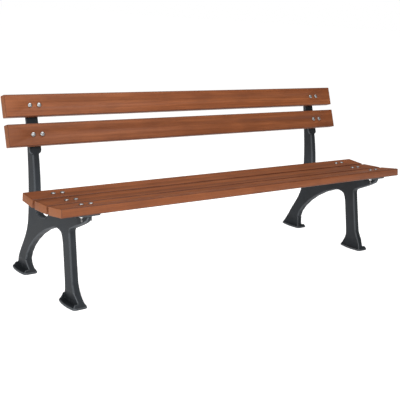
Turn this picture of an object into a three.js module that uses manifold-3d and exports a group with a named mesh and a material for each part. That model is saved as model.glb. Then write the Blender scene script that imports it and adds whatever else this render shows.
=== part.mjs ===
// Park bench: two cast-iron side frames carry three seat slats and two back slats.
// Every slat is held to each frame by two carriage bolts with flange nuts.
// Units are millimetres, +Z is up, the front of the bench faces -Y, X runs along the slats.
// The origin is on the ground, under the middle of the bench.

import * as THREE from 'three';
import { mergeVertices } from 'three/addons/utils/BufferGeometryUtils.js';
import Module from 'manifold-3d';

// ---------- driving dimensions ----------

const BENCH_LENGTH = 2000;
const FRAME_INSET = 138; // slat end to the middle of the casting
const GAP = 0.3; // clearance kept between touching pieces

const SLAT_THICKNESS = 37;
const NARROW_SLAT = 99;
const WIDE_SLAT = 110;
const SLAT_CHAMFER = 3.5;

// Seat slats: middle of the top face, and the tilt (positive lifts the rear edge).
const SEAT_SLATS = [
  { name: 'rear', y: -34.2, z: 441.1, tilt: 4.5, width: NARROW_SLAT },
  { name: 'middle', y: -154.3, z: 440.7, tilt: -2.8, width: WIDE_SLAT },
  { name: 'front', y: -278.4, z: 452.6, tilt: -8, width: WIDE_SLAT },
];

// The back slats lie on one plane that leans to the rear.
const BACK_LEAN = 18.5;
const BACK_POINT = { y: 224.4, z: 708 };
const BACK_SLATS = [
  { name: 'upper', along: 65 },
  { name: 'lower', along: -65 },
];

const WEB_THICKNESS = 34;
const WEB_BEVEL = 4;
const PAD_THICKNESS = 8;
const SEAT_PAD_WIDTH = 90;
const SEAT_PAD_MARGIN = 14; // slat edge to pad edge
const SEAT_PAD_CORNER = 8;
const FLANGE_WIDTH = 59;
const FLANGE_RECESS = 7; // the back flange stands this far behind the slats, which lie on bosses
const FLANGE_BELOW = 80; // back flange, from the lower slat's middle down to its end
const FLANGE_ABOVE = 38; // and from the upper slat's middle up to its end
const FLANGE_CORNER = 15;

const SOLE_WIDTH = 70;
const SOLE_LENGTH = 138;
const SOLE_THICKNESS = 10;
const SOLE_CORNER = 14;
const SOLE_BULGE = 7; // the long sides swell by this much at their middle
const SOLE_RIM = 3.5;
const FRONT_FOOT_Y = -198;
const REAR_FOOT_Y = 273.5;
const FLARE_HEIGHT = 62;
const FLARE_MARGIN = 4; // sole edge to the foot of the flare
const POCKET_WALL = 12;
const POCKET_RISE = 8; // height of the pocket's upright back wall
const POCKET_FLOOR = 6; // from the casting's middle plane to the pocket's back wall

const HORN_TIP_Y = -315;
const HORN_TAPER_Y = -240;
const HORN_TIP_THICKNESS = 18;
const HORN_BASE_Z = 330;
const HORN_HEIGHT = 95;

const BOLT_SPACING = 43;
const BOLT_RADIUS = 4;
const BOLT_LENGTH = 70;
const HEAD_RADIUS = 10;
const HEAD_HEIGHT = 5;
const NECK_HALF = 4.1;
const NECK_DEPTH = 5;
const NUT_ACROSS_FLATS = 13;
const NUT_HEIGHT = 8;
const NUT_FLANGE_RADIUS = 8.3;
const NUT_FLANGE_HEIGHT = 1.6;
const NUT_SEAT_RADIUS = 9; // the web is cut back around each nut
const NUT_SEAT_DEPTH = 14;
const ROUND_SIDES = 12;

const CURVE_STEPS = 6;

// ---------- materials ----------

const paintedIron = new THREE.MeshStandardMaterial({ color: 0x3a4044, roughness: 0.5, metalness: 0.5 });
const stainedWood = new THREE.MeshStandardMaterial({ color: 0x8c5a3a, roughness: 0.55, metalness: 0 });
const zincSteel = new THREE.MeshStandardMaterial({ color: 0xc4c6c8, roughness: 0.25, metalness: 1 });

// ---------- solid modelling helpers ----------

const wasm = await Module();
wasm.setup();

function toSolid(geometry) {
  const bare = geometry.clone();
  bare.deleteAttribute('normal');
  bare.deleteAttribute('uv');
  const merged = mergeVertices(bare, 1e-4);
  return new wasm.Manifold(new wasm.Mesh({
    numProp: 3,
    vertProperties: new Float32Array(merged.attributes.position.array),
    triVerts: new Uint32Array(merged.index.array),
  }));
}

function toGeometry(solid) {
  const mesh = solid.getMesh();
  const geometry = new THREE.BufferGeometry();
  geometry.setAttribute('position', new THREE.BufferAttribute(new Float32Array(mesh.vertProperties), 3));
  geometry.setIndex(new THREE.BufferAttribute(new Uint32Array(mesh.triVerts), 1));
  geometry.computeVertexNormals();
  return geometry;
}

function addPiece(group, name, geometry, material) {
  const mesh = new THREE.Mesh(geometry, material);
  mesh.name = name;
  group.add(mesh);
  return mesh;
}

// Extrudes an outline drawn in (y, z) along X, centred on x = 0.
function extrudeAcross(shape, width, bevel = 0) {
  const geometry = new THREE.ExtrudeGeometry(shape, {
    depth: width - 2 * bevel,
    bevelEnabled: bevel > 0,
    bevelThickness: bevel,
    bevelSize: bevel,
    bevelOffset: -bevel,
    bevelSegments: 1,
    curveSegments: CURVE_STEPS,
  });
  geometry.translate(0, 0, bevel - width / 2);
  const axes = new THREE.Matrix4().makeBasis(
    new THREE.Vector3(0, 1, 0),
    new THREE.Vector3(0, 0, 1),
    new THREE.Vector3(1, 0, 0),
  );
  return geometry.applyMatrix4(axes);
}

// A rounded rectangle, drawn around the origin.
function roundedRectangle(width, height, radius) {
  const w = width / 2;
  const h = height / 2;
  const shape = new THREE.Shape();
  shape.moveTo(-w + radius, -h);
  shape.lineTo(w - radius, -h);
  shape.absarc(w - radius, -h + radius, radius, -Math.PI / 2, 0);
  shape.lineTo(w, h - radius);
  shape.absarc(w - radius, h - radius, radius, 0, Math.PI / 2);
  shape.lineTo(-w + radius, h);
  shape.absarc(-w + radius, h - radius, radius, Math.PI / 2, Math.PI);
  shape.lineTo(-w, -h + radius);
  shape.absarc(-w + radius, -h + radius, radius, Math.PI, Math.PI * 1.5);
  return shape;
}

// A flat plate of that outline, from z = -thickness to z = 0.
function plate(width, height, thickness, radius) {
  const geometry = new THREE.ExtrudeGeometry(roundedRectangle(width, height, radius), {
    depth: thickness,
    bevelEnabled: false,
    curveSegments: 3,
  });
  return geometry.translate(0, 0, -thickness);
}

// ---------- where the slats lie ----------

// A seat is a plane that a slat lies on: its local x runs along the bench, its local y goes up the
// slat's width, and its local z points out of the slat's show face. z = 0 is the slat's back.
// The grip is how deep the casting goes on behind the slat, down to the nut.

function placement(y, z, angleDegrees) {
  const turn = new THREE.Matrix4().makeRotationX(THREE.MathUtils.degToRad(angleDegrees));
  return new THREE.Matrix4().makeTranslation(0, y, z).multiply(turn);
}

function seatPlacement(slat) {
  const top = placement(slat.y, slat.z, slat.tilt);
  return top.multiply(new THREE.Matrix4().makeTranslation(0, 0, -SLAT_THICKNESS));
}

function backPlacement(along) {
  const plane = placement(BACK_POINT.y, BACK_POINT.z, 90 - BACK_LEAN);
  return plane.multiply(new THREE.Matrix4().makeTranslation(0, along, 0));
}

const slats = [
  ...BACK_SLATS.map((slat) => ({
    name: `back_slat_${slat.name}`,
    width: NARROW_SLAT,
    seat: backPlacement(slat.along),
    grip: FLANGE_RECESS + PAD_THICKNESS,
  })),
  ...SEAT_SLATS.map((slat) => ({
    name: `seat_slat_${slat.name}`,
    width: slat.width,
    seat: seatPlacement(slat),
    grip: PAD_THICKNESS,
  })),
];

const FRAME_X = BENCH_LENGTH / 2 - FRAME_INSET;
const sides = [
  { name: 'left', x: -FRAME_X, outward: -1 },
  { name: 'right', x: FRAME_X, outward: 1 },
];

function boltPositions() {
  return sides.flatMap((side) => [
    { side: side.name, place: 'outer', x: side.x + side.outward * BOLT_SPACING / 2 },
    { side: side.name, place: 'inner', x: side.x - side.outward * BOLT_SPACING / 2 },
  ]);
}

// ---------- fasteners ----------

// A round bar along z, for cutting a hole.
function roundHole(radius, from, to) {
  const hole = new THREE.CylinderGeometry(radius, radius, to - from, ROUND_SIDES);
  return hole.rotateX(Math.PI / 2).translate(0, 0, (from + to) / 2);
}

// The bolt points along -z: its head stands on z = 0 and its shank goes down.
function boltGeometry() {
  const profile = [new THREE.Vector2(0, -BOLT_LENGTH)];
  profile.push(new THREE.Vector2(BOLT_RADIUS - 0.8, -BOLT_LENGTH));
  profile.push(new THREE.Vector2(BOLT_RADIUS, -BOLT_LENGTH + 0.8));
  profile.push(new THREE.Vector2(BOLT_RADIUS, 0));
  profile.push(new THREE.Vector2(HEAD_RADIUS, 0));
  for (const lift of [0.3, 0.65, 0.88]) {
    const radius = HEAD_RADIUS * Math.sqrt(1 - lift * lift);
    profile.push(new THREE.Vector2(radius, HEAD_HEIGHT * lift));
  }
  profile.push(new THREE.Vector2(0, HEAD_HEIGHT));
  const body = toSolid(new THREE.LatheGeometry(profile, ROUND_SIDES).rotateX(Math.PI / 2));
  const neck = new THREE.BoxGeometry(2 * NECK_HALF, 2 * NECK_HALF, NECK_DEPTH + 1);
  neck.translate(0, 0, -NECK_DEPTH / 2 + 0.5);
  return toGeometry(body.add(toSolid(neck)));
}

// The nut's flange face is at z = 0 and its body goes down.
function nutGeometry() {
  const hexRadius = NUT_ACROSS_FLATS / Math.sqrt(3);
  const hexagon = new THREE.CylinderGeometry(hexRadius, hexRadius, NUT_HEIGHT, 6);
  hexagon.rotateX(Math.PI / 2).translate(0, 0, -NUT_HEIGHT / 2);
  const collar = new THREE.CylinderGeometry(
    NUT_FLANGE_RADIUS, NUT_FLANGE_RADIUS, NUT_FLANGE_HEIGHT, ROUND_SIDES,
  );
  collar.rotateX(Math.PI / 2).translate(0, 0, -NUT_FLANGE_HEIGHT / 2);
  const bore = toSolid(roundHole(BOLT_RADIUS + GAP, -NUT_HEIGHT - 1, 1));
  return toGeometry(toSolid(hexagon).add(toSolid(collar)).subtract(bore));
}

// ---------- slats ----------

function slatGeometry(width) {
  const w = width / 2;
  const c = SLAT_CHAMFER;
  const section = new THREE.Shape([
    new THREE.Vector2(-w + c, 0),
    new THREE.Vector2(w - c, 0),
    new THREE.Vector2(w, c),
    new THREE.Vector2(w, SLAT_THICKNESS - c),
    new THREE.Vector2(w - c, SLAT_THICKNESS),
    new THREE.Vector2(-w + c, SLAT_THICKNESS),
    new THREE.Vector2(-w, SLAT_THICKNESS - c),
    new THREE.Vector2(-w, c),
  ]);
  const neckSide = 2 * (NECK_HALF + GAP);
  let board = toSolid(extrudeAcross(section, BENCH_LENGTH));
  for (const bolt of boltPositions()) {
    const hole = roundHole(BOLT_RADIUS + GAP, -1, SLAT_THICKNESS + 1);
    hole.translate(bolt.x, 0, 0);
    const socket = new THREE.BoxGeometry(neckSide, neckSide, NECK_DEPTH + 2);
    socket.translate(bolt.x, 0, SLAT_THICKNESS - NECK_DEPTH / 2 + 1 - GAP);
    board = board.subtract(toSolid(hole)).subtract(toSolid(socket));
  }
  return toGeometry(board);
}

// ---------- cast side frame ----------

// The web's outline in (y, z), without pads, flange and soles.
function webOutline() {
  const sole = SOLE_THICKNESS / 2;
  const outline = new THREE.Shape();
  // front leg, front edge, from the toe up to the horn
  outline.moveTo(-265, sole);
  outline.bezierCurveTo(-254, 26, -229, 62, -214, 98);
  outline.bezierCurveTo(-204, 150, -191, 215, -176, 303);
  // horn, lower edge and rounded tip
  outline.quadraticCurveTo(-173, 319, -186, 326);
  outline.bezierCurveTo(-217, 341, -262, 361, -294, 381);
  outline.quadraticCurveTo(HORN_TIP_Y, 393, HORN_TIP_Y, 415);
  // top edge, from pad to pad, with a hollow between them
  outline.lineTo(-242, 405);
  outline.quadraticCurveTo(-220, 372, -198, 401);
  outline.lineTo(-114, 397);
  outline.quadraticCurveTo(-91, 366, -68, 397);
  outline.lineTo(4, 403);
  // deep hollow between the seat and the post
  outline.bezierCurveTo(16, 318, 58, 305, 101, 305);
  outline.bezierCurveTo(145, 305, 149, 330, 151, 360);
  // post, front edge, then up behind the face of the back flange
  outline.bezierCurveTo(154, 430, 170, 510, 180, 552);
  outline.quadraticCurveTo(183, 565, 189, 575);
  outline.lineTo(261, 789);
  // top of the post, then its rear edge
  outline.quadraticCurveTo(269, 808, 286, 797);
  outline.bezierCurveTo(276, 720, 256, 620, 246, 545);
  outline.bezierCurveTo(230, 440, 223, 330, 230, 250);
  // rear leg, rear edge, down to the heel
  outline.bezierCurveTo(238, 180, 304, 110, 324, 52);
  outline.quadraticCurveTo(330, 26, 341, sole);
  // rear foot, then the arch between the legs
  outline.lineTo(206, sole);
  outline.quadraticCurveTo(227, 32, 231, 66);
  outline.bezierCurveTo(226, 122, 117, 237, -30, 288);
  outline.bezierCurveTo(-96, 311, -107, 279, -118, 212);
  outline.lineTo(-139, 88);
  outline.quadraticCurveTo(-147, 36, -130, sole);
  return outline;
}

// The sole's plan in (x, y): a rounded rectangle whose long sides are swollen.
function soleOutline() {
  const w = SOLE_WIDTH / 2;
  const h = SOLE_LENGTH / 2;
  const pull = w + 2 * SOLE_BULGE;
  const shape = new THREE.Shape();
  shape.moveTo(-w + SOLE_CORNER, -h);
  shape.lineTo(w - SOLE_CORNER, -h);
  shape.quadraticCurveTo(w, -h, w, -h + SOLE_CORNER);
  shape.quadraticCurveTo(pull, 0, w, h - SOLE_CORNER);
  shape.quadraticCurveTo(w, h, w - SOLE_CORNER, h);
  shape.lineTo(-w + SOLE_CORNER, h);
  shape.quadraticCurveTo(-w, h, -w, h - SOLE_CORNER);
  shape.quadraticCurveTo(-pull, 0, -w, -h + SOLE_CORNER);
  shape.quadraticCurveTo(-w, -h, -w + SOLE_CORNER, -h);
  return shape;
}

// The sole plate, flat below and with a rounded upper rim.
function solePlate(footY) {
  const geometry = new THREE.ExtrudeGeometry(soleOutline(), {
    depth: SOLE_THICKNESS,
    bevelEnabled: true,
    bevelThickness: SOLE_RIM,
    bevelSize: SOLE_RIM,
    bevelOffset: -SOLE_RIM,
    bevelSegments: 2,
    curveSegments: CURVE_STEPS,
  });
  geometry.translate(0, footY, -SOLE_RIM);
  return toSolid(geometry).trimByPlane([0, 0, 1], 0);
}

// A foot widens towards its sole: this is its whole section in (x, z).
function flareSection() {
  const half = WEB_THICKNESS / 2 - 1;
  const wide = SOLE_WIDTH / 2 - FLARE_MARGIN;
  const low = SOLE_THICKNESS - 1;
  const section = new THREE.Shape();
  section.moveTo(-wide, 1);
  section.lineTo(wide, 1);
  section.lineTo(wide, low);
  section.quadraticCurveTo(half + 3, low + 14, half, FLARE_HEIGHT);
  section.lineTo(-half, FLARE_HEIGHT);
  section.quadraticCurveTo(-half - 3, low + 14, -wide, low);
  return section;
}

// One foot: the flare trimmed to the web's outline, and the sole plate under it.
function footMetal(footY, trim) {
  const block = new THREE.ExtrudeGeometry(flareSection(), {
    depth: SOLE_LENGTH,
    bevelEnabled: false,
    curveSegments: 5,
  });
  block.rotateX(Math.PI / 2).translate(0, footY + SOLE_LENGTH / 2, 0);
  return toSolid(block).intersect(trim).add(solePlate(footY));
}

// The pocket above the sole plate, open on the frame's outer side. It leaves a wall of the flare
// at the toe and at the heel, and runs out into the web's face at the top of the flare.
function footPocket(footY, outward) {
  const face = WEB_THICKNESS / 2;
  const outer = SOLE_WIDTH / 2 + SOLE_BULGE;
  const corners = [
    [POCKET_FLOOR, SOLE_THICKNESS],
    [outer, SOLE_THICKNESS],
    [outer, FLARE_HEIGHT],
    [face, FLARE_HEIGHT],
    [POCKET_FLOOR, SOLE_THICKNESS + POCKET_RISE],
  ];
  const section = new THREE.Shape(corners.map(([x, z]) => new THREE.Vector2(outward * x, z)));
  const pocket = new THREE.ExtrudeGeometry(section, {
    depth: SOLE_LENGTH - 2 * POCKET_WALL,
    bevelEnabled: false,
  });
  pocket.rotateX(Math.PI / 2).translate(0, footY + SOLE_LENGTH / 2 - POCKET_WALL, 0);
  return toSolid(pocket);
}

// The horn gets thinner towards its tip: this wedge comes off one side (-1 or 1) of it.
function hornWedge(side) {
  const face = WEB_THICKNESS / 2;
  const tip = HORN_TIP_THICKNESS / 2;
  const corners = [
    [face, HORN_TAPER_Y],
    [tip, HORN_TIP_Y],
    [tip, HORN_TIP_Y - 5],
    [face + 1, HORN_TIP_Y - 5],
    [face + 1, HORN_TAPER_Y],
  ];
  const section = new THREE.Shape(corners.map(([x, y]) => new THREE.Vector2(side * x, y)));
  const wedge = new THREE.ExtrudeGeometry(section, { depth: HORN_HEIGHT, bevelEnabled: false });
  return toSolid(wedge.translate(0, 0, HORN_BASE_Z));
}

// A pad on the slat's back, or deeper by recess: its middle is moved up the slat's width by shift.
function padSolid(seat, length, width, corner, shift, recess) {
  const pad = plate(width, length, PAD_THICKNESS, corner);
  return toSolid(pad.translate(0, shift, -GAP - recess).applyMatrix4(seat));
}

// Every slat lies on its own pad; on the back these pads are the bosses of the flange.
function slatPads() {
  return slats.map((slat) => {
    const length = slat.width - 2 * SEAT_PAD_MARGIN;
    const width = slat.grip > PAD_THICKNESS ? FLANGE_WIDTH : SEAT_PAD_WIDTH;
    return padSolid(slat.seat, length, width, SEAT_PAD_CORNER, 0, 0);
  });
}

function backFlange() {
  const top = BACK_SLATS[0].along + FLANGE_ABOVE;
  const bottom = BACK_SLATS[1].along - FLANGE_BELOW;
  const middle = (top + bottom) / 2;
  return padSolid(backPlacement(0), top - bottom, FLANGE_WIDTH, FLANGE_CORNER, middle, FLANGE_RECESS);
}

// Each bolt hole through a pad opens below into a round seat for the nut.
function padHoles() {
  return slats.flatMap((slat) => [-1, 1].map((end) => {
    const under = -slat.grip - GAP;
    const hole = toSolid(roundHole(BOLT_RADIUS + GAP, under - 1, 1));
    const nutSeat = toSolid(roundHole(NUT_SEAT_RADIUS, under - NUT_SEAT_DEPTH, under));
    const place = slat.seat.clone();
    place.multiply(new THREE.Matrix4().makeTranslation(end * BOLT_SPACING / 2, 0, 0));
    return hole.add(nutSeat).transform(place.elements);
  }));
}

// The casting stands with its web's middle plane on x = 0.
function sideFrameGeometry(outward) {
  let metal = toSolid(extrudeAcross(webOutline(), WEB_THICKNESS, WEB_BEVEL));
  metal = metal.subtract(hornWedge(-1)).subtract(hornWedge(1));
  const trim = toSolid(extrudeAcross(webOutline(), SOLE_WIDTH));
  for (const footY of [FRONT_FOOT_Y, REAR_FOOT_Y]) {
    metal = metal.add(footMetal(footY, trim)).subtract(footPocket(footY, outward));
  }
  for (const pad of [...slatPads(), backFlange()]) {
    metal = metal.add(pad);
  }
  for (const hole of padHoles()) {
    metal = metal.subtract(hole);
  }
  return toGeometry(metal);
}

// ---------- the bench ----------

const bench = new THREE.Group();

for (const side of sides) {
  const frame = addPiece(bench, `side_frame_${side.name}`, sideFrameGeometry(side.outward), paintedIron);
  frame.position.x = side.x;
}

const bolt = boltGeometry();
const nut = nutGeometry();

for (const slat of slats) {
  const assembly = new THREE.Group();
  assembly.applyMatrix4(slat.seat);
  addPiece(assembly, slat.name, slatGeometry(slat.width), stainedWood);
  const label = slat.name.replace('_slat', '');
  for (const spot of boltPositions()) {
    const ending = `${label}_${spot.side}_${spot.place}`;
    const boltPiece = addPiece(assembly, `bolt_${ending}`, bolt, zincSteel);
    boltPiece.position.set(spot.x, 0, SLAT_THICKNESS + GAP);
    const nutPiece = addPiece(assembly, `nut_${ending}`, nut, zincSteel);
    nutPiece.position.set(spot.x, 0, -slat.grip - 2 * GAP);
  }
  bench.add(assembly);
}

export default bench;
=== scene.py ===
import math

import bmesh
import bpy
import numpy as np
from mathutils import Matrix, Vector


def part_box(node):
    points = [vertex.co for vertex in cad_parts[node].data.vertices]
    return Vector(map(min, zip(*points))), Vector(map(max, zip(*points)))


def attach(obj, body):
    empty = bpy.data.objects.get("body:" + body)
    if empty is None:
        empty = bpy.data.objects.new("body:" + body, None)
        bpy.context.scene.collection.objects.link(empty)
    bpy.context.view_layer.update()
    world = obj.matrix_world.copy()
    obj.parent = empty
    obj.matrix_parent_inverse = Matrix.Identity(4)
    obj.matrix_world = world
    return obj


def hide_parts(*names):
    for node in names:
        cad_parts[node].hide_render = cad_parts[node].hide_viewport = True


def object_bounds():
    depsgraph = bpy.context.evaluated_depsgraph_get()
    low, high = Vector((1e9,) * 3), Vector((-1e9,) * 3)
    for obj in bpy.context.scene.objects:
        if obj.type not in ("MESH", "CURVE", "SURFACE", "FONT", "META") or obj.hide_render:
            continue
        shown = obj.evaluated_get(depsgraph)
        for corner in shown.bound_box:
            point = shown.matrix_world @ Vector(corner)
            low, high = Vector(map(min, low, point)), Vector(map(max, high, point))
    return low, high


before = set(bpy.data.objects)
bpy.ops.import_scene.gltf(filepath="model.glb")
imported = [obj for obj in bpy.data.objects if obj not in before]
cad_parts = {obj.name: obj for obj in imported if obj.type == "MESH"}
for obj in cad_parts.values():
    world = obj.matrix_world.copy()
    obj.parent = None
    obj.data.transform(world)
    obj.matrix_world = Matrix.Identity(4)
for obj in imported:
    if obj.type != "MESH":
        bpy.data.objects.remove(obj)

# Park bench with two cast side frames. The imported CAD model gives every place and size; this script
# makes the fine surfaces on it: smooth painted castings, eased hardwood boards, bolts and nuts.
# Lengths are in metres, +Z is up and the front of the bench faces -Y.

cad_low, cad_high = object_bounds()

SIDES = ("left", "right")
SLATS = ("back_upper", "back_lower", "seat_rear", "seat_middle", "seat_front")
SLAT_NODES = {
    "back_upper": "back_slat_upper",
    "back_lower": "back_slat_lower",
    "seat_rear": "seat_slat_rear",
    "seat_middle": "seat_slat_middle",
    "seat_front": "seat_slat_front",
}
X_AXIS = Vector((1, 0, 0))

# ---------- driving values ----------

BOARD_EDGE = 0.0035  # radius of the eased edges
RING_PITCH = 0.0052  # width of a growth ring
SOAKED_WIDTH = 0.006  # band along the edges where the stain has soaked in
DISH_RADIUS = 0.0118  # hollow that a bolt head is drawn into
DISH_DEPTH = 0.0009
DISH_FLARE = 0.0022  # how much narrower the dish is at its floor than at its rim
CUTTER_OVERRUN = 0.004  # how far the cutter stands out of both faces
HOLE_RADIUS = 0.0043
NECK_CLEARANCE = 0.0003

HEAD_RADIUS = 0.010
HEAD_HEIGHT = 0.005
HEAD_RIM = 0.0009  # height of the rounded rim under the dome
NECK_HALF = 0.0041
NECK_DEPTH = 0.005
SHANK_RADIUS = 0.004
SHANK_RELIEF = 0.0002  # how much thinner the plain shank is than the thread's crests
NECK_TAPER = 0.0008  # height over which the square neck runs into the shank
THREAD_PITCH = 0.00125
THREAD_DEPTH = 0.00065
THREAD_LENGTH = 0.018
THREAD_RUNOUT = 0.001  # stretch without thread above it and at the tip
TIP_CHAMFER = 0.0005  # how far inside the thread's root the tip ends
BOLT_SIDES = 32

NUT_HALF_FLATS = 0.0065
NUT_COLLAR_RADIUS = 0.0083
NUT_COLLAR_HEIGHT = 0.0007
NUT_COLLAR_SLOPE = 0.0018  # height where the collar has run into the hexagon
NUT_CHAMFER = 0.0011
NUT_CORNER_SLACK = 0.0001  # keeps the chamfer's first row just outside the hexagon
NUT_CHAMFER_RUN = 1.55  # how far the chamfer goes in, as a multiple of its height
NUT_BORE_GAP = 0.0002
NUT_BORE_CHAMFER = 0.0008
NUT_LIP = 0.0003  # rounding of the collar's rim
NUT_SIDES = 48

CAST_VOXEL = 0.0023
CAST_SMOOTHING = 3
WEB_HALF = 0.017
REAR_ROUNDING = 0.022  # depth of the half-ellipse on edges that face the rear
PARTING_SHARE = 0.3  # share of the web's thickness left at the parting line
REAR_FACING = (0.3, 0.8)  # the outline normal's y, from where rounding starts to where it is full
FRONT_FACING = -0.2  # normals below this y belong to edges that face the front
ROUNDING_REACH = 0.6  # most of a thin member's depth that the rounding may take
FOOT_BAND = (0.022, 0.070)  # heights between which the rounding fades in above a foot
WEB_SLACK = 0.0015  # remeshed points this far outside the web still belong to it
CURVE_FADE = 0.014  # distance from the outline over which the move onto the curve dies out
OUTLINE_THINNING = 3  # every third outline point is enough to find the thickness
CHUNK = 4000  # points handled at once, to bound memory
OUTLINE_STEP = 0.002
CORNER_ANGLE = math.radians(28)  # sharper turns of the outline stay corners


# ---------- node graphs ----------


class Graph:
    """Builds one material's nodes; an input may be a socket or a plain value."""

    def __init__(self, name):
        self.material = bpy.data.materials.new(name)
        self.material.use_nodes = True
        self.tree = self.material.node_tree
        self.shader = next(n for n in self.tree.nodes if n.type == "BSDF_PRINCIPLED")

    def put(self, socket, value):
        if isinstance(value, bpy.types.NodeSocket):
            self.tree.links.new(value, socket)
        else:
            socket.default_value = value

    def node(self, kind, settings=None, **inputs):
        made = self.tree.nodes.new(kind)
        for key, value in (settings or {}).items():
            setattr(made, key, value)
        for key, value in inputs.items():
            self.put(made.inputs[key.replace("_", " ")], value)
        return made

    def math(self, operation, a, b=0.0, clamp=False):
        made = self.node("ShaderNodeMath", {"operation": operation, "use_clamp": clamp})
        self.put(made.inputs[0], a)
        self.put(made.inputs[1], b)
        return made.outputs[0]

    def span(self, value, low, high, to_low=0.0, to_high=1.0, kind="SMOOTHSTEP"):
        made = self.node("ShaderNodeMapRange", {"interpolation_type": kind}, Value=value)
        for socket, number in zip(made.inputs[1:5], (low, high, to_low, to_high)):
            self.put(socket, number)
        return made.outputs[0]

    def mix(self, share, a, b, blend="MIX"):
        made = self.node("ShaderNodeMix", {"data_type": "RGBA", "blend_type": blend})
        self.put(made.inputs[0], share)
        self.put(made.inputs[6], a)
        self.put(made.inputs[7], b)
        return made.outputs[2]

    def stretched(self, vector, scale, shift=(0, 0, 0)):
        made = self.node("ShaderNodeMapping", Vector=vector, Location=shift, Scale=scale)
        return made.outputs[0]

    def noise(self, vector, scale=1.0, detail=3.0, roughness=0.55, distortion=0.0):
        made = self.node(
            "ShaderNodeTexNoise",
            Vector=vector,
            Scale=scale,
            Detail=detail,
            Roughness=roughness,
            Distortion=distortion,
        )
        return made.outputs[0]

    def bump(self, height, distance, strength=1.0, normal=None):
        made = self.node("ShaderNodeBump", Height=height, Distance=distance, Strength=strength)
        if normal is not None:
            self.put(made.inputs["Normal"], normal)
        return made.outputs[0]

    def finish(self, color, roughness, normal, **values):
        self.put(self.shader.inputs["Base Color"], color)
        self.put(self.shader.inputs["Roughness"], roughness)
        self.put(self.shader.inputs["Normal"], normal)
        for key, value in values.items():
            self.shader.inputs[key.replace("_", " ")].default_value = value
        return self.material


# ---------- materials ----------


def wood_material(name, seed, tone, half_width, half_thickness, half_length):
    """Stained hardwood in the board's own axes: x runs with the grain, z out of the show face."""
    g = Graph(name)
    place = g.node("ShaderNodeTexCoord")
    spot = place.outputs["Object"]
    shift = (seed * 3.17, seed * 1.93, seed * 2.71)
    wander = g.noise(g.stretched(spot, (1.6, 6, 6), shift), detail=2.0)
    fibre = g.noise(g.stretched(spot, (5, 420, 420), shift), detail=4.0, roughness=0.65)
    strand = g.noise(g.stretched(spot, (2.2, 95, 95), shift), detail=3.0, distortion=0.4)
    figure = g.noise(g.stretched(spot, (7, 16, 16), shift), detail=3.0, roughness=0.5)
    blotch = g.noise(g.stretched(spot, (2.6, 5, 5), shift), detail=1.0)
    pores = g.noise(g.stretched(spot, (38, 1500, 1500), shift), detail=2.0, roughness=0.5)

    axes = g.node("ShaderNodeSeparateXYZ", Vector=spot)
    heart = g.math("ADD", axes.outputs[2], 0.055 + 0.02 * math.sin(seed))
    aside = g.math("ADD", axes.outputs[1], 0.03 * math.cos(2.3 * seed))
    reach = g.math("POWER", g.math("ADD", g.math("MULTIPLY", heart, heart),
                                   g.math("MULTIPLY", aside, aside)), 0.5)
    reach = g.math("ADD", reach, g.math("MULTIPLY", wander, 0.018))
    rings = g.math("SINE", g.math("MULTIPLY", reach, 2 * math.pi / RING_PITCH))
    rings = g.span(rings, -1.0, 1.0)

    light = tuple(c * tone for c in (0.276, 0.087, 0.028)) + (1,)
    middle = tuple(c * tone for c in (0.216, 0.063, 0.019)) + (1,)
    dark = tuple(c * tone for c in (0.122, 0.034, 0.011)) + (1,)
    color = g.mix(g.span(strand, 0.32, 0.68), middle, light)
    color = g.mix(g.span(figure, 0.35, 0.75, 0.0, 0.42), color, dark)
    color = g.mix(g.math("MULTIPLY", rings, 0.24), color, dark)
    color = g.mix(g.span(fibre, 0.44, 0.72, 0.0, 0.42), color, dark)
    color = g.mix(g.span(blotch, 0.52, 0.74, 0.0, 0.45), color, dark)
    pore_mask = g.span(pores, 0.60, 0.70)
    color = g.mix(g.math("MULTIPLY", pore_mask, 0.5), color, (0.070, 0.022, 0.010, 1))

    across = g.math("ABSOLUTE", axes.outputs[1])
    through = g.math("ABSOLUTE", axes.outputs[2])
    along = g.math("ABSOLUTE", axes.outputs[0])
    near = SOAKED_WIDTH
    side_edge = g.math("MULTIPLY", g.span(across, half_width - near, half_width - 0.001),
                       g.span(through, half_thickness - near, half_thickness - 0.001))
    turned = g.node("ShaderNodeSeparateXYZ", Vector=place.outputs["Normal"])
    end_grain = g.span(g.math("ABSOLUTE", turned.outputs[0]), 0.55, 0.95)
    end_edge = g.math("MULTIPLY", g.span(along, half_length - near, half_length - 0.0012),
                      g.math("SUBTRACT", 1.0, end_grain))
    edge = g.math("MAXIMUM", side_edge, end_edge)
    soaked = g.math("MULTIPLY", edge, g.span(figure, 0.30, 0.62, 0.65, 0.95))
    color = g.mix(soaked, color, tuple(c * tone for c in (0.085, 0.024, 0.009)) + (1,))
    pale = tuple(c * tone for c in (0.30, 0.108, 0.040)) + (1,)
    color = g.mix(g.math("MULTIPLY", end_grain, 0.5), color, pale)

    rough = g.span(strand, 0.25, 0.75, 0.40, 0.54)
    rough = g.math("ADD", rough, g.math("MULTIPLY", pore_mask, 0.12))
    rough = g.math("ADD", rough, g.math("MULTIPLY", end_grain, 0.18))
    grain = g.math("SUBTRACT", g.math("MULTIPLY", fibre, 0.7), g.math("MULTIPLY", pore_mask, 0.6))
    normal = g.bump(strand, 0.0007, 0.6)
    normal = g.bump(grain, 0.00022, 0.7, normal)
    return g.finish(color, rough, normal, Specular_IOR_Level=0.28)


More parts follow.
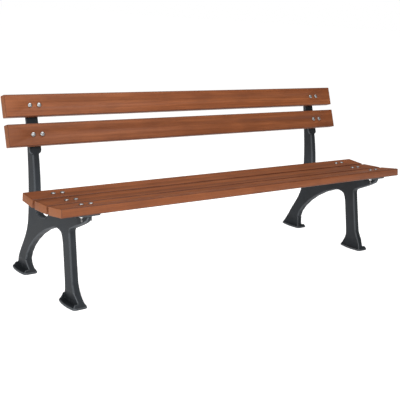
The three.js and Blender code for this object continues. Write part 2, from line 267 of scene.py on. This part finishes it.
def iron_material(name, seed):
    """Satin charcoal paint over an as-cast skin, with a painted highlight along the edges and painted
    shade in the hollows.
    """
    g = Graph(name)
    spot = g.node("ShaderNodeTexCoord").outputs["Object"]
    shift = (seed * 1.3, seed * 2.1, seed * 0.7)
    moved = g.stretched(spot, (1, 1, 1), shift)
    skin = g.noise(moved, scale=620, detail=3.0, roughness=0.6)
    lumps = g.noise(moved, scale=70, detail=2.0)
    cloud = g.noise(moved, scale=9, detail=3.0)
    ridge = g.node("ShaderNodeNewGeometry").outputs["Pointiness"]
    edge = g.span(ridge, 0.506, 0.530)
    hollow_painted_shade = g.span(ridge, 0.49, 0.455)
    color = g.mix(g.span(cloud, 0.3, 0.7), (0.016, 0.019, 0.022, 1), (0.024, 0.028, 0.033, 1))
    color = g.mix(g.span(skin, 0.45, 0.75, 0.0, 0.35), color, (0.038, 0.042, 0.047, 1))
    # painted highlight: the pointiness edge mask lightens convex edges to stand in for the glint
    # along the ridges
    color = g.mix(g.math("MULTIPLY", edge, 0.85), color, (0.095, 0.104, 0.113, 1))
    # painted shade: concave places are darkened towards black where shade falls
    color = g.mix(g.math("MULTIPLY", hollow_painted_shade, 0.5), color, (0.006, 0.007, 0.008, 1))
    rough = g.span(cloud, 0.25, 0.75, 0.50, 0.60)
    rough = g.math("ADD", rough, g.span(skin, 0.4, 0.8, 0.0, 0.10))
    normal = g.bump(lumps, 0.0009, 0.35)
    normal = g.bump(skin, 0.00030, 0.55, normal)
    return g.finish(color, rough, normal, Specular_IOR_Level=0.16, Metallic=0.0)


def zinc_material(name, painted_light_level):
    """Zinc plate of the given brightness, with faint cloudy passivation and painted shade in the
    recesses; the brightness is painted light and shade, lower for the bolt heads and higher for the
    nuts.
    """
    g = Graph(name)
    spot = g.node("ShaderNodeTexCoord").outputs["Object"]
    cloud = g.noise(spot, scale=260, detail=3.0)
    fine = g.noise(spot, scale=2600, detail=2.0)
    ridge = g.node("ShaderNodeNewGeometry").outputs["Pointiness"]
    # the given brightness is painted light and shade, set per copy of this zinc
    color = g.mix(g.span(cloud, 0.3, 0.7), (painted_light_level * 0.82, painted_light_level * 0.83, painted_light_level * 0.85, 1),
                  (painted_light_level, painted_light_level, painted_light_level * 0.99, 1))
    # painted shade: concave places such as thread roots and the neck corners are darkened where shade
    # falls
    color = g.mix(g.span(ridge, 0.48, 0.42, 0.0, 0.7), color, (0.10, 0.10, 0.10, 1))
    rough = g.span(cloud, 0.3, 0.75, 0.34, 0.46)
    return g.finish(color, rough, g.bump(fine, 0.00004, 0.5), Metallic=1.0)


# ---------- reading places off the CAD nodes ----------


def points_of(node):
    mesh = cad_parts[node].data
    found = np.empty(len(mesh.vertices) * 3, np.float32)
    mesh.vertices.foreach_get("co", found)
    return found.reshape(-1, 3).astype(float)


def show_direction(node):
    """The normal of a board's widest face, out of the side that people see and sit on."""
    widest = {}
    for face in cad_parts[node].data.polygons:
        key = tuple(round(c, 2) for c in face.normal)
        widest[key] = widest.get(key, 0.0) + face.area
    best = Vector(max(widest, key=widest.get)).normalized()
    exact = max((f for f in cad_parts[node].data.polygons if f.normal.dot(best) > 0.999),
                key=lambda f: f.area).normal.copy()
    return exact if exact.z - exact.y > 0 else -exact


def board_frame(node):
    """(matrix to the board's own axes at its middle, half sizes along them)."""
    out = show_direction(node)
    across = out.cross(X_AXIS)
    axes = np.array([X_AXIS, across, out])
    local = points_of(node) @ axes.T
    low, high = local.min(0), local.max(0)
    middle = Vector(axes.T @ ((low + high) / 2))
    matrix = Matrix((X_AXIS, across, out)).transposed().to_4x4()
    matrix.translation = middle
    return matrix, Vector((high - low) / 2)


def fastener_frame(node, board):
    """A matrix at the top of a fastener on the board, z out of the board, and its length."""
    local = np.array(board.to_3x3()).T @ (points_of(node) - np.array(board.translation)).T
    low, high = local.min(1), local.max(1)
    top = Vector(((low[0] + high[0]) / 2, 0, high[2]))
    return board @ Matrix.Translation(top), high[2] - low[2]


def fasteners(kind, slat):
    return [f"{kind}_{slat}_{side}_{place}" for side in SIDES for place in ("outer", "inner")]


# ---------- mesh helpers ----------


def place_piece(name, mesh, matrix, material, node):
    """Shows a mesh in place of a CAD node, riding on the bench's one body."""
    piece = bpy.data.objects.new(name, mesh)
    bpy.context.scene.collection.objects.link(piece)
    piece.matrix_world = matrix
    mesh.materials.append(material)
    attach(piece, "root")
    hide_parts(node)
    return piece


def shade(mesh, degrees):
    mesh.shade_smooth()
    mesh.set_sharp_from_angle(angle=math.radians(degrees))


def mesh_from(bm, name):
    mesh = bpy.data.meshes.new(name)
    bm.to_mesh(mesh)
    bm.free()
    return mesh


def turned_mesh(name, rows, sides, ring=False):
    """Skins rows of (z, radius or radius at an angle). A ring joins its last row to its first;
    otherwise the ends close on the axis."""
    bm = bmesh.new()
    loops = []
    for z, radius in rows:
        loop = []
        for i in range(sides):
            angle = 2 * math.pi * i / sides
            r = radius(angle) if callable(radius) else radius
            loop.append(bm.verts.new((r * math.cos(angle), r * math.sin(angle), z)))
        loops.append(loop)
    pairs = list(zip(loops, loops[1:]))
    if ring:
        pairs.append((loops[-1], loops[0]))
    for upper, lower in pairs:
        for i in range(sides):
            j = (i + 1) % sides
            bm.faces.new((upper[i], lower[i], lower[j], upper[j]))
    if not ring:
        for loop, z, turn in ((loops[0], rows[0][0], 1), (loops[-1], rows[-1][0], -1)):
            tip = bm.verts.new((0, 0, z))
            for i in range(sides):
                bm.faces.new((tip, loop[i], loop[(i + 1) % sides])[::turn])
    bmesh.ops.recalc_face_normals(bm, faces=bm.faces)
    return mesh_from(bm, name)


def applied(piece):
    """The piece's mesh with its modifiers applied."""
    graph = bpy.context.evaluated_depsgraph_get()
    return bpy.data.meshes.new_from_object(piece.evaluated_get(graph), depsgraph=graph)


def loose_object(name, mesh):
    made = bpy.data.objects.new(name, mesh)
    bpy.context.scene.collection.objects.link(made)
    return made


def remove_object(piece):
    mesh = piece.data
    bpy.data.objects.remove(piece)
    bpy.data.meshes.remove(mesh)


# ---------- boards ----------


def eased_board(half):
    bm = bmesh.new()
    bmesh.ops.create_cube(bm, size=2.0, matrix=Matrix.Diagonal((*half, 1)))
    bmesh.ops.bevel(bm, geom=list(bm.edges), offset=BOARD_EDGE, segments=4, profile=0.5,
                    affect="EDGES", clamp_overlap=True)
    return mesh_from(bm, "board")


def square_radius(half, corner=1.03):
    """The radius of a square bar with rounded corners, by angle."""
    def radius(angle):
        flat = half / max(abs(math.cos(angle)), abs(math.sin(angle)))
        return min(flat, half * math.sqrt(2) / corner)
    return radius


def bolt_cutter(face, thickness):
    """What a carriage bolt needs in a board: a shallow dish, a square socket and a through hole."""
    socket = square_radius(NECK_HALF + NECK_CLEARANCE)
    rows = [(face + CUTTER_OVERRUN, DISH_RADIUS), (face, DISH_RADIUS)]
    for share in (0.35, 0.65, 0.85, 1.0):
        rows.append((face - DISH_DEPTH * math.sin(share * math.pi / 2),
                     DISH_RADIUS - DISH_FLARE * share))
    rows.append((face - DISH_DEPTH, socket))
    rows.append((face - DISH_DEPTH - NECK_DEPTH, socket))
    rows.append((face - DISH_DEPTH - NECK_DEPTH, HOLE_RADIUS))
    rows.append((face - thickness - CUTTER_OVERRUN, HOLE_RADIUS))
    return turned_mesh("cutter", rows, BOLT_SIDES)


def board_mesh(matrix, half, slat):
    board = loose_object("board_blank", eased_board(half))
    cutters = []
    for bolt in fasteners("bolt", slat):
        place, _ = fastener_frame(bolt, matrix)
        cutter = loose_object("bolt_cutter", bolt_cutter(half.z, 2 * half.z))
        cutter.location.x = (matrix.inverted() @ place).translation.x
        cut = board.modifiers.new("hole", "BOOLEAN")
        cut.operation = "DIFFERENCE"
        cut.solver = "EXACT"
        cut.object = cutter
        cutters.append(cutter)
    mesh = applied(board)
    for spent in [board, *cutters]:
        remove_object(spent)
    shade(mesh, 40)
    return mesh


BOARD_TONES = {
    "back_upper": 1.0,
    "back_lower": 0.95,
    "seat_rear": 0.98,
    "seat_middle": 0.93,
    "seat_front": 1.02,
}


def make_board(slat, seed):
    node = SLAT_NODES[slat]
    matrix, half = board_frame(node)
    material = wood_material(f"stained_wood_{slat}", seed, BOARD_TONES[slat], half.y, half.z, half.x)
    place_piece(f"{node}.board", board_mesh(matrix, half, slat), matrix, material, node)
    return matrix


# ---------- fasteners ----------


def bolt_mesh(length):
    """A carriage bolt with the top of its dome at z = 0."""
    rows = []
    for share in (0.12, 0.3, 0.5, 0.68, 0.82, 0.92, 0.98):
        lift = math.sqrt(1 - share * share) * (HEAD_HEIGHT - HEAD_RIM)
        rows.append((lift - (HEAD_HEIGHT - HEAD_RIM), HEAD_RADIUS * share))
    rows.append((-HEAD_HEIGHT + HEAD_RIM, HEAD_RADIUS))
    rows.append((-HEAD_HEIGHT + 0.3 * HEAD_RIM, HEAD_RADIUS))
    rows.append((-HEAD_HEIGHT, HEAD_RADIUS - 0.7 * HEAD_RIM))
    neck = square_radius(NECK_HALF)
    rows.append((-HEAD_HEIGHT, neck))
    rows.append((-HEAD_HEIGHT - NECK_DEPTH, neck))
    rows.append((-HEAD_HEIGHT - NECK_DEPTH - NECK_TAPER, SHANK_RADIUS - SHANK_RELIEF))
    start = -length + THREAD_LENGTH
    rows.append((start + THREAD_RUNOUT, SHANK_RADIUS - SHANK_RELIEF))

    def thread(z):
        def radius(angle):
            turn = (z / THREAD_PITCH + angle / (2 * math.pi)) % 1.0
            return SHANK_RADIUS - THREAD_DEPTH * abs(2 * turn - 1)
        return radius

    steps = int(round((THREAD_LENGTH - THREAD_RUNOUT) / (THREAD_PITCH / 4)))
    for i in range(steps):
        z = start - (THREAD_LENGTH - THREAD_RUNOUT) * i / (steps - 1)
        rows.append((z, thread(z)))
    rows.append((-length, SHANK_RADIUS - THREAD_DEPTH - TIP_CHAMFER))
    return turned_mesh("bolt", rows, BOLT_SIDES)


def hexagon_radius(limit):
    """The radius of the nut's hexagon by angle, cut back to a circle of radius limit."""
    def radius(angle):
        offset = (angle + math.pi / 6) % (math.pi / 3) - math.pi / 6
        return min(NUT_HALF_FLATS / math.cos(offset), limit)
    return radius


def nut_mesh(height):
    """A hexagon flange nut with its collar's face at z = 0, the hexagon below it."""
    corner = NUT_HALF_FLATS / math.cos(math.pi / 6)
    bore = SHANK_RADIUS + NUT_BORE_GAP
    rows = [(0, NUT_COLLAR_RADIUS - NUT_LIP), (-NUT_LIP, NUT_COLLAR_RADIUS),
            (-NUT_COLLAR_HEIGHT, NUT_COLLAR_RADIUS)]
    rows.append((-NUT_COLLAR_HEIGHT - NUT_LIP, NUT_COLLAR_RADIUS - NUT_LIP))
    rows.append((-NUT_COLLAR_SLOPE, hexagon_radius(corner)))
    for share in (0.0, 0.35, 0.7, 1.0):
        limit = corner + NUT_CORNER_SLACK - share * NUT_CHAMFER_RUN * NUT_CHAMFER
        rows.append((-height + NUT_CHAMFER * (1 - share), hexagon_radius(limit)))
    rows.append((-height, bore + NUT_BORE_CHAMFER))
    rows.append((-height + NUT_BORE_CHAMFER, bore))
    rows.append((-NUT_BORE_CHAMFER, bore))
    rows.append((0, bore + NUT_BORE_CHAMFER))
    return turned_mesh("nut", rows, NUT_SIDES, ring=True)


def make_fasteners(slat, board, head_zinc_painted_shade, nut_zinc_painted_light):
    for kind, maker, material in (("bolt", bolt_mesh, head_zinc_painted_shade), ("nut", nut_mesh, nut_zinc_painted_light)):
        for node in fasteners(kind, slat):
            matrix, length = fastener_frame(node, board)
            mesh = maker(length)
            shade(mesh, 32)
            place_piece(f"{node}.fine", mesh, matrix, material, node)


# ---------- cast side frames ----------


def middle_outline(node, x):
    """The ordered outline, in (y, z), of a side frame cut at the plane x."""
    bm = bmesh.new()
    bm.from_mesh(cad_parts[node].data)
    bmesh.ops.remove_doubles(bm, verts=bm.verts, dist=1e-6)
    cut = bmesh.ops.bisect_plane(bm, geom=[*bm.verts, *bm.edges, *bm.faces], dist=1e-7,
                                 plane_co=(x, 0, 0), plane_no=(1, 0, 0), clear_outer=True)
    edges = [e for e in cut["geom_cut"] if isinstance(e, bmesh.types.BMEdge)]
    near = {}
    for edge in edges:
        a, b = edge.verts
        near.setdefault(a, []).append(b)
        near.setdefault(b, []).append(a)
    start = min(near, key=lambda v: v.co.z)
    loop, last, here = [start], None, start
    while True:
        ahead = [v for v in near[here] if v is not last]
        last, here = here, ahead[0]
        if here is start:
            break
        loop.append(here)
    outline = np.array([(v.co.y, v.co.z) for v in loop], float)
    bm.free()
    following = np.roll(outline, -1, axis=0)
    area = (outline[:, 0] * following[:, 1] - following[:, 0] * outline[:, 1]).sum()
    return outline if area > 0 else outline[::-1]


def dense_outline(outline):
    """(points on the straight-sided outline, the same points on a smooth curve through its
    corners, outward normals there), one about every OUTLINE_STEP."""
    count = len(outline)
    ahead = np.roll(outline, -1, axis=0) - outline
    heading = np.arctan2(ahead[:, 1], ahead[:, 0])
    turn = np.abs((heading - np.roll(heading, 1) + math.pi) % (2 * math.pi) - math.pi)
    corner = turn > CORNER_ANGLE
    straight, smooth = [], []
    for i in range(count):
        a, b = outline[i], outline[(i + 1) % count]
        before = a - (b - a) if corner[i] else outline[i - 1]
        after = b + (b - a) if corner[(i + 1) % count] else outline[(i + 2) % count]
        length = np.linalg.norm(b - a)
        rise = (b - before) * length / (length + np.linalg.norm(a - before))
        fall = (after - a) * length / (length + np.linalg.norm(after - b))
        steps = max(1, int(round(length / OUTLINE_STEP)))
        for t in np.arange(steps) / steps:
            straight.append(a + (b - a) * t)
            smooth.append((2 * t**3 - 3 * t**2 + 1) * a + (t**3 - 2 * t**2 + t) * rise
                          + (3 * t**2 - 2 * t**3) * b + (t**3 - t**2) * fall)
    smooth = np.array(smooth)
    along = np.roll(smooth, -1, axis=0) - np.roll(smooth, 1, axis=0)
    along /= np.linalg.norm(along, axis=1, keepdims=True)
    return np.array(straight), smooth, np.stack([along[:, 1], -along[:, 0]], 1)


def smooth_step(value, low, high):
    t = np.clip((value - low) / (high - low), 0, 1)
    return t * t * (3 - 2 * t)


def distances(points, others):
    """Every distance between two lists of (y, z) points."""
    gap = points[:, None, :] - others[None, :, :]
    return np.sqrt((gap**2).sum(2))


def thickness_share(points, outline, normals):
    """The share of the web's full thickness at (y, z) points: edges that face the rear of the
    bench fall away in a half-ellipse, down to the parting line."""
    rear = normals[:, 0] > REAR_FACING[0]
    facing = smooth_step(normals[rear, 0], *REAR_FACING)
    front = outline[normals[:, 0] < FRONT_FACING]
    depth = distances(outline[rear], front).min(1)
    depth = np.minimum(REAR_ROUNDING, ROUNDING_REACH * depth) * facing + 1e-4
    share = np.ones(len(points))
    for i in range(0, len(points), CHUNK):
        part = slice(i, i + CHUNK)
        inward = np.clip(distances(points[part], outline[rear]) / depth, 0, 1)
        share[part] = np.sqrt(1 - (1 - inward) ** 2).min(1)
    return PARTING_SHARE + (1 - PARTING_SHARE) * share


def cast_points(points, node, x):
    """Moves the remeshed CAD surface onto smooth curves and rounds its rear edges."""
    straight, smooth, normals = dense_outline(middle_outline(node, x))
    flat = points[:, 1:].copy()
    for i in range(0, len(flat), CHUNK):
        part = slice(i, i + CHUNK)
        gap = distances(flat[part], straight)
        nearest = gap.argmin(1)
        fade = np.exp(-(gap.min(1) / CURVE_FADE) ** 2)
        points[part, 1:] += (smooth - straight)[nearest] * fade[:, None]
    thinned = slice(None, None, OUTLINE_THINNING)
    share = thickness_share(points[:, 1:], smooth[thinned], normals[thinned])
    above_foot = smooth_step(points[:, 2], *FOOT_BAND)
    share = 1 + (share - 1) * above_foot
    in_web = np.abs(points[:, 0] - x) < WEB_HALF + WEB_SLACK
    points[in_web, 0] = x + (points[in_web, 0] - x) * share[in_web]
    return points


def cast_mesh(node):
    low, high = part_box(node)
    blank = loose_object("cast_blank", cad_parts[node].data.copy())
    remesh = blank.modifiers.new("skin", "REMESH")
    remesh.mode = "VOXEL"
    remesh.voxel_size = CAST_VOXEL
    mesh = applied(blank)
    remove_object(blank)
    points = np.empty(len(mesh.vertices) * 3, np.float32)
    mesh.vertices.foreach_get("co", points)
    points = cast_points(points.reshape(-1, 3).astype(float), node, (low.x + high.x) / 2)
    mesh.vertices.foreach_set("co", points.astype(np.float32).ravel())
    skin = loose_object("cast_skin", mesh)
    soften = skin.modifiers.new("soften", "SMOOTH")
    soften.factor = 0.5
    soften.iterations = CAST_SMOOTHING
    mesh = applied(skin)
    remove_object(skin)
    mesh.materials.clear()
    shade(mesh, 60)
    return mesh


def make_side_frame(side, seed):
    node = f"side_frame_{side}"
    material = iron_material(f"painted_iron_{side}", seed)
    place_piece(f"{node}.casting", cast_mesh(node), Matrix.Identity(4), material, node)


# ---------- camera, light and floor ----------

CAMERA_PLACE = Vector((-2.342, -2.916, 1.267))
CAMERA_YAW = math.radians(37.66)  # from +Y towards +X
CAMERA_PITCH = math.radians(10.72)  # down
CAMERA_ROLL = math.radians(3.61)
CAMERA_LENS = 69.84
CAMERA_SENSOR = 36.0
CAMERA_SHIFT = -0.125
FLOOR_GAP = 0.0005  # keeps the soles and the floor from sharing a plane


def make_camera():
    data = bpy.data.cameras.new("camera")
    data.lens = CAMERA_LENS
    data.sensor_width = CAMERA_SENSOR
    data.shift_y = CAMERA_SHIFT
    data.clip_start = 0.05
    data.clip_end = 200
    camera = bpy.data.objects.new("camera", data)
    bpy.context.scene.collection.objects.link(camera)
    ahead = Vector((math.sin(CAMERA_YAW) * math.cos(CAMERA_PITCH),
                    math.cos(CAMERA_YAW) * math.cos(CAMERA_PITCH), -math.sin(CAMERA_PITCH)))
    level = Vector((math.cos(CAMERA_YAW), -math.sin(CAMERA_YAW), 0))
    upright = level.cross(ahead)
    right = math.cos(CAMERA_ROLL) * level + math.sin(CAMERA_ROLL) * upright
    up = math.cos(CAMERA_ROLL) * upright - math.sin(CAMERA_ROLL) * level
    matrix = Matrix((right, up, -ahead)).transposed().to_4x4()
    matrix.translation = CAMERA_PLACE
    camera.matrix_world = matrix
    bpy.context.scene.camera = camera


def area_light(name, place, target, size, power, color=(1, 1, 1)):
    data = bpy.data.lights.new(name, "AREA")
    data.shape = "RECTANGLE"
    data.size, data.size_y = size
    data.energy = power
    data.color = color
    light = bpy.data.objects.new(name, data)
    bpy.context.scene.collection.objects.link(light)
    light.location = place
    light.rotation_euler = (Vector(target) - Vector(place)).to_track_quat("-Z", "Y").to_euler()


def make_lights():
    middle = (cad_low + cad_high) / 2
    area_light("key_light", (-2.9, -1.9, 1.5), (middle.x - 0.6, middle.y, 0.4), (1.4, 1.4), 62)
    area_light("front_light", (0.3, -3.6, 2.5), (middle.x, middle.y, 0.5), (2.0, 1.6), 44)
    area_light("top_light", (0.0, -0.3, 3.2), middle, (3.6, 2.0), 88)


def make_world():
    world = bpy.data.worlds.new("studio")
    world.use_nodes = True
    tree = world.node_tree
    tree.nodes.clear()
    room = tree.nodes.new("ShaderNodeBackground")
    room.inputs["Color"].default_value = (1.0, 1.0, 1.0, 1)
    room.inputs["Strength"].default_value = 0.12
    seen = tree.nodes.new("ShaderNodeBackground")
    seen.inputs["Color"].default_value = (1, 1, 1, 1)
    seen.inputs["Strength"].default_value = 1.0
    path = tree.nodes.new("ShaderNodeLightPath")
    mix = tree.nodes.new("ShaderNodeMixShader")
    out = tree.nodes.new("ShaderNodeOutputWorld")
    tree.links.new(path.outputs["Is Camera Ray"], mix.inputs[0])
    tree.links.new(room.outputs[0], mix.inputs[1])
    tree.links.new(seen.outputs[0], mix.inputs[2])
    tree.links.new(mix.outputs[0], out.inputs[0])
    bpy.context.scene.world = world


def make_floor():
    bm = bmesh.new()
    bmesh.ops.create_circle(bm, cap_ends=True, radius=60, segments=64)
    floor = loose_object("floor", mesh_from(bm, "floor"))
    g = Graph("pale_floor")
    shader = g.shader.inputs
    shader["Base Color"].default_value = (0.62, 0.62, 0.62, 1)
    shader["Roughness"].default_value = 0.9
    shader["Specular IOR Level"].default_value = 0.1
    shader["Emission Color"].default_value = (1, 1, 1, 1)
    shader["Emission Strength"].default_value = 0.93
    floor.data.materials.append(g.material)
    floor.location.z = cad_low.z - FLOOR_GAP


# ---------- the bench ----------

make_camera()
make_world()
make_lights()
make_floor()
bpy.context.scene.view_settings.view_transform = "Standard"

# Heads and nuts are the same zinc: the heads get a darker copy as painted shade, the nuts a brighter
# copy as painted light.
head_zinc_painted_shade = zinc_material("zinc_steel_heads_painted_shade", 0.40)
nut_zinc_painted_light = zinc_material("zinc_steel_nuts_painted_light", 0.94)
for number, slat in enumerate(SLATS):
    board = make_board(slat, number + 1.0)
    make_fasteners(slat, board, head_zinc_painted_shade, nut_zinc_painted_light)
for number, side in enumerate(SIDES):
    make_side_frame(side, number + 1.0)
